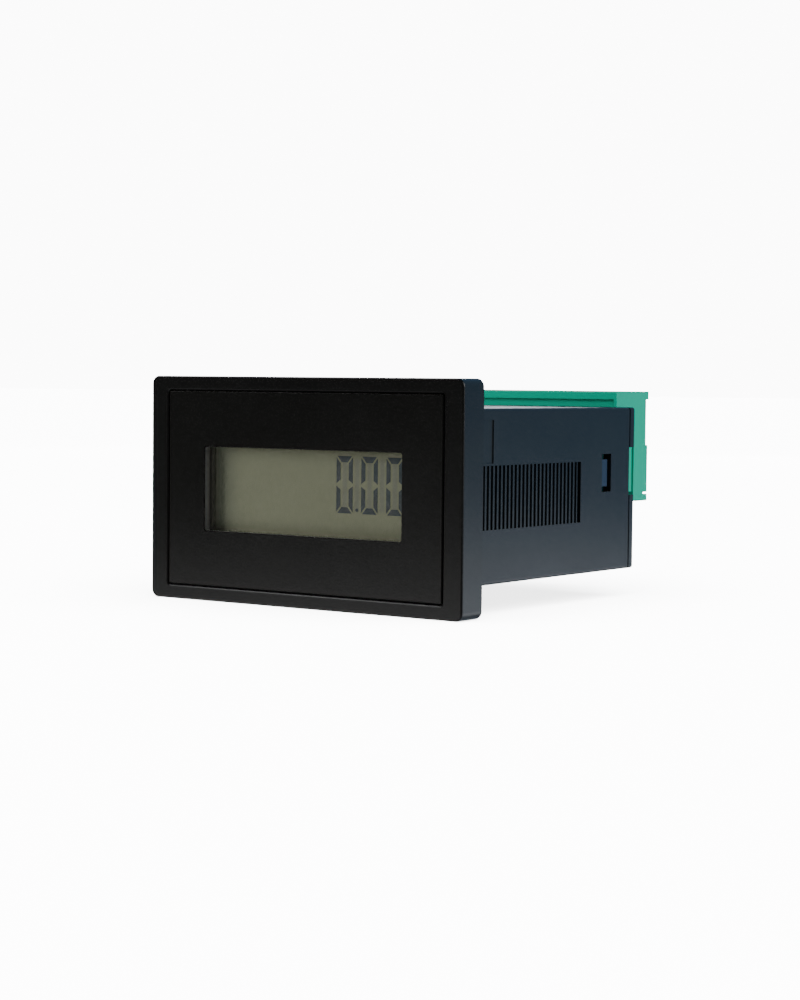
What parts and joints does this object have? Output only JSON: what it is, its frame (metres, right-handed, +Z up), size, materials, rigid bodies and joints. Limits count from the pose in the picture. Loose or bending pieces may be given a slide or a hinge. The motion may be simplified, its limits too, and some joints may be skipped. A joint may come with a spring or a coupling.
{
  "type": "panel-mount frequency counter",
  "caption": "Rectangular panel-mount digital frequency counter with a recessed LCD window, vented sleeve housing and a pluggable screw-terminal block at the rear.",
  "frame": {"origin": "centre of the panel cut-out, in the plane where the bezel's rear face seats on the panel", "axes": "+Y from the panel's front face into the cabinet, +Z up, +X to the right as seen by someone reading the display"},
  "size_m": [0.075, 0.081, 0.044],
  "materials": {
    "bezel_black": "fine spark-eroded black moulding, slight sheen",
    "plate_black": "finely textured black plate",
    "window_clear": "clear acrylic, polished",
    "gasket_rubber": "soft black rubber",
    "foam_black": "black foam",
    "lcd_glass": "polarised LCD glass, olive grey",
    "lcd_glass_rear": "LCD rear glass, olive grey",
    "lcd_reflector": "matt reflective foil",
    "inner_black": "plain black moulding",
    "zebra_rubber": "layered conductive silicone",
    "board_green": "green solder mask on glass epoxy",
    "chip_black": "moulded epoxy",
    "screw_steel": "zinc plated",
    "housing_black": "blue-black moulding with a soft sheen",
    "latch_blue_black": "dark blue moulding",
    "pin_tin": "tin plated brass",
    "crystal_can": "drawn can",
    "capacitor_sleeve": "shrunk sleeve",
    "ferrite": "sintered ferrite",
    "resistor_black": "coated ceramic",
    "header_green": "green polyamide",
    "plug_green": "green polyamide with a soft sheen",
    "cage_nickel": "nickel plated"
  },
  "bodies": {
    "housing": {"front_bezel": "bezel_black", "front_plate": "plate_black", "display_window": "window_clear", "panel_gasket": "gasket_rubber", "lcd_foam_seal": "foam_black", "lcd_front_glass": "lcd_glass", "lcd_rear_glass": "lcd_glass_rear", "lcd_reflector": "lcd_reflector", "lcd_holder": "inner_black", "zebra_strips": "zebra_rubber", "display_board": "board_green", "lcd_driver_chip": "chip_black", "display_screws": "screw_steel", "carrier_frame": "inner_black", "housing_sleeve": "housing_black", "rear_cover": "housing_black", "main_board": "board_green", "board_link_socket": "chip_black", "board_link_strip": "chip_black", "board_link_pins": "pin_tin", "microcontroller": "chip_black", "crystal": "crystal_can", "electrolytic_capacitors": "capacitor_sleeve", "choke": "ferrite", "voltage_regulator": "chip_black", "optocouplers": "chip_black", "diodes": "chip_black", "chip_resistors": "resistor_black", "terminal_header": "header_green", "header_pins": "pin_tin"},
    "latch_left": {"latch_arm_left": "latch_blue_black"},
    "latch_right": {"latch_arm_right": "latch_blue_black"},
    "plug": {"plug_body": "plug_green", "plug_contacts": "pin_tin"},
    "screw_01": {"clamp_screw_01": "screw_steel"},
    "cage_01": {"clamp_cage_01": "cage_nickel"},
    "screw_02": {"clamp_screw_02": "screw_steel"},
    "cage_02": {"clamp_cage_02": "cage_nickel"},
    "screw_03": {"clamp_screw_03": "screw_steel"},
    "cage_03": {"clamp_cage_03": "cage_nickel"},
    "screw_04": {"clamp_screw_04": "screw_steel"},
    "cage_04": {"clamp_cage_04": "cage_nickel"},
    "screw_05": {"clamp_screw_05": "screw_steel"},
    "cage_05": {"clamp_cage_05": "cage_nickel"},
    "screw_06": {"clamp_screw_06": "screw_steel"},
    "cage_06": {"clamp_cage_06": "cage_nickel"},
    "screw_07": {"clamp_screw_07": "screw_steel"},
    "cage_07": {"clamp_cage_07": "cage_nickel"},
    "screw_08": {"clamp_screw_08": "screw_steel"},
    "cage_08": {"clamp_cage_08": "cage_nickel"},
    "screw_09": {"clamp_screw_09": "screw_steel"},
    "cage_09": {"clamp_cage_09": "cage_nickel"},
    "screw_10": {"clamp_screw_10": "screw_steel"},
    "cage_10": {"clamp_cage_10": "cage_nickel"},
    "screw_11": {"clamp_screw_11": "screw_steel"},
    "cage_11": {"clamp_cage_11": "cage_nickel"}
  },
  "joints": [
    {"name": "plug_pull", "type": "slide", "parent": "housing", "child": "plug", "axis": [0, 1, 0], "range_m": [0, 0.012]},
    {"name": "latch_press_left", "type": "hinge", "parent": "housing", "child": "latch_left", "pos_m": [-0.03115, 0.006, 0.00335], "axis": [0, 0, -1], "range_deg": [0, 2.2], "stiffness_Nm_per_rad": 3},
    {"name": "latch_press_right", "type": "hinge", "parent": "housing", "child": "latch_right", "pos_m": [0.03115, 0.006, 0.00335], "axis": [0, 0, 1], "range_deg": [0, 2.2], "stiffness_Nm_per_rad": 3},
    {"name": "screw_turn_01", "type": "hinge", "parent": "plug", "child": "screw_01", "pos_m": [-0.0254, 0.0718, 0.0138], "axis": [0, -1, 0], "range_deg": [0, 1440]},
    {"name": "cage_rise_01", "type": "slide", "parent": "plug", "child": "cage_01", "axis": [0, 1, 0], "range_m": [0, 0.002]},
    {"name": "screw_turn_02", "type": "hinge", "parent": "plug", "child": "screw_02", "pos_m": [-0.02032, 0.0718, 0.0138], "axis": [0, -1, 0], "range_deg": [0, 1440]},
    {"name": "cage_rise_02", "type": "slide", "parent": "plug", "child": "cage_02", "axis": [0, 1, 0], "range_m": [0, 0.002]},
    {"name": "screw_turn_03", "type": "hinge", "parent": "plug", "child": "screw_03", "pos_m": [-0.01524, 0.0718, 0.0138], "axis": [0, -1, 0], "range_deg": [0, 1440]},
    {"name": "cage_rise_03", "type": "slide", "parent": "plug", "child": "cage_03", "axis": [0, 1, 0], "range_m": [0, 0.002]},
    {"name": "screw_turn_04", "type": "hinge", "parent": "plug", "child": "screw_04", "pos_m": [-0.01016, 0.0718, 0.0138], "axis": [0, -1, 0], "range_deg": [0, 1440]},
    {"name": "cage_rise_04", "type": "slide", "parent": "plug", "child": "cage_04", "axis": [0, 1, 0], "range_m": [0, 0.002]},
    {"name": "screw_turn_05", "type": "hinge", "parent": "plug", "child": "screw_05", "pos_m": [-0.00508, 0.0718, 0.0138], "axis": [0, -1, 0], "range_deg": [0, 1440]},
    {"name": "cage_rise_05", "type": "slide", "parent": "plug", "child": "cage_05", "axis": [0, 1, 0], "range_m": [0, 0.002]},
    {"name": "screw_turn_06", "type": "hinge", "parent": "plug", "child": "screw_06", "pos_m": [0, 0.0718, 0.0138], "axis": [0, -1, 0], "range_deg": [0, 1440]},
    {"name": "cage_rise_06", "type": "slide", "parent": "plug", "child": "cage_06", "axis": [0, 1, 0], "range_m": [0, 0.002]},
    {"name": "screw_turn_07", "type": "hinge", "parent": "plug", "child": "screw_07", "pos_m": [0.00508, 0.0718, 0.0138], "axis": [0, -1, 0], "range_deg": [0, 1440]},
    {"name": "cage_rise_07", "type": "slide", "parent": "plug", "child": "cage_07", "axis": [0, 1, 0], "range_m": [0, 0.002]},
    {"name": "screw_turn_08", "type": "hinge", "parent": "plug", "child": "screw_08", "pos_m": [0.01016, 0.0718, 0.0138], "axis": [0, -1, 0], "range_deg": [0, 1440]},
    {"name": "cage_rise_08", "type": "slide", "parent": "plug", "child": "cage_08", "axis": [0, 1, 0], "range_m": [0, 0.002]},
    {"name": "screw_turn_09", "type": "hinge", "parent": "plug", "child": "screw_09", "pos_m": [0.01524, 0.0718, 0.0138], "axis": [0, -1, 0], "range_deg": [0, 1440]},
    {"name": "cage_rise_09", "type": "slide", "parent": "plug", "child": "cage_09", "axis": [0, 1, 0], "range_m": [0, 0.002]},
    {"name": "screw_turn_10", "type": "hinge", "parent": "plug", "child": "screw_10", "pos_m": [0.02032, 0.0718, 0.0138], "axis": [0, -1, 0], "range_deg": [0, 1440]},
    {"name": "cage_rise_10", "type": "slide", "parent": "plug", "child": "cage_10", "axis": [0, 1, 0], "range_m": [0, 0.002]},
    {"name": "screw_turn_11", "type": "hinge", "parent": "plug", "child": "screw_11", "pos_m": [0.0254, 0.0718, 0.0138], "axis": [0, -1, 0], "range_deg": [0, 1440]},
    {"name": "cage_rise_11", "type": "slide", "parent": "plug", "child": "cage_11", "axis": [0, 1, 0], "range_m": [0, 0.002]}
  ],
  "couplings": [
    {"joint": "screw_turn_01", "follows": "cage_rise_01", "rad_per_m": 12566},
    {"joint": "screw_turn_02", "follows": "cage_rise_02", "rad_per_m": 12566},
    {"joint": "screw_turn_03", "follows": "cage_rise_03", "rad_per_m": 12566},
    {"joint": "screw_turn_04", "follows": "cage_rise_04", "rad_per_m": 12566},
    {"joint": "screw_turn_05", "follows": "cage_rise_05", "rad_per_m": 12566},
    {"joint": "screw_turn_06", "follows": "cage_rise_06", "rad_per_m": 12566},
    {"joint": "screw_turn_07", "follows": "cage_rise_07", "rad_per_m": 12566},
    {"joint": "screw_turn_08", "follows": "cage_rise_08", "rad_per_m": 12566},
    {"joint": "screw_turn_09", "follows": "cage_rise_09", "rad_per_m": 12566},
    {"joint": "screw_turn_10", "follows": "cage_rise_10", "rad_per_m": 12566},
    {"joint": "screw_turn_11", "follows": "cage_rise_11", "rad_per_m": 12566}
  ]
}
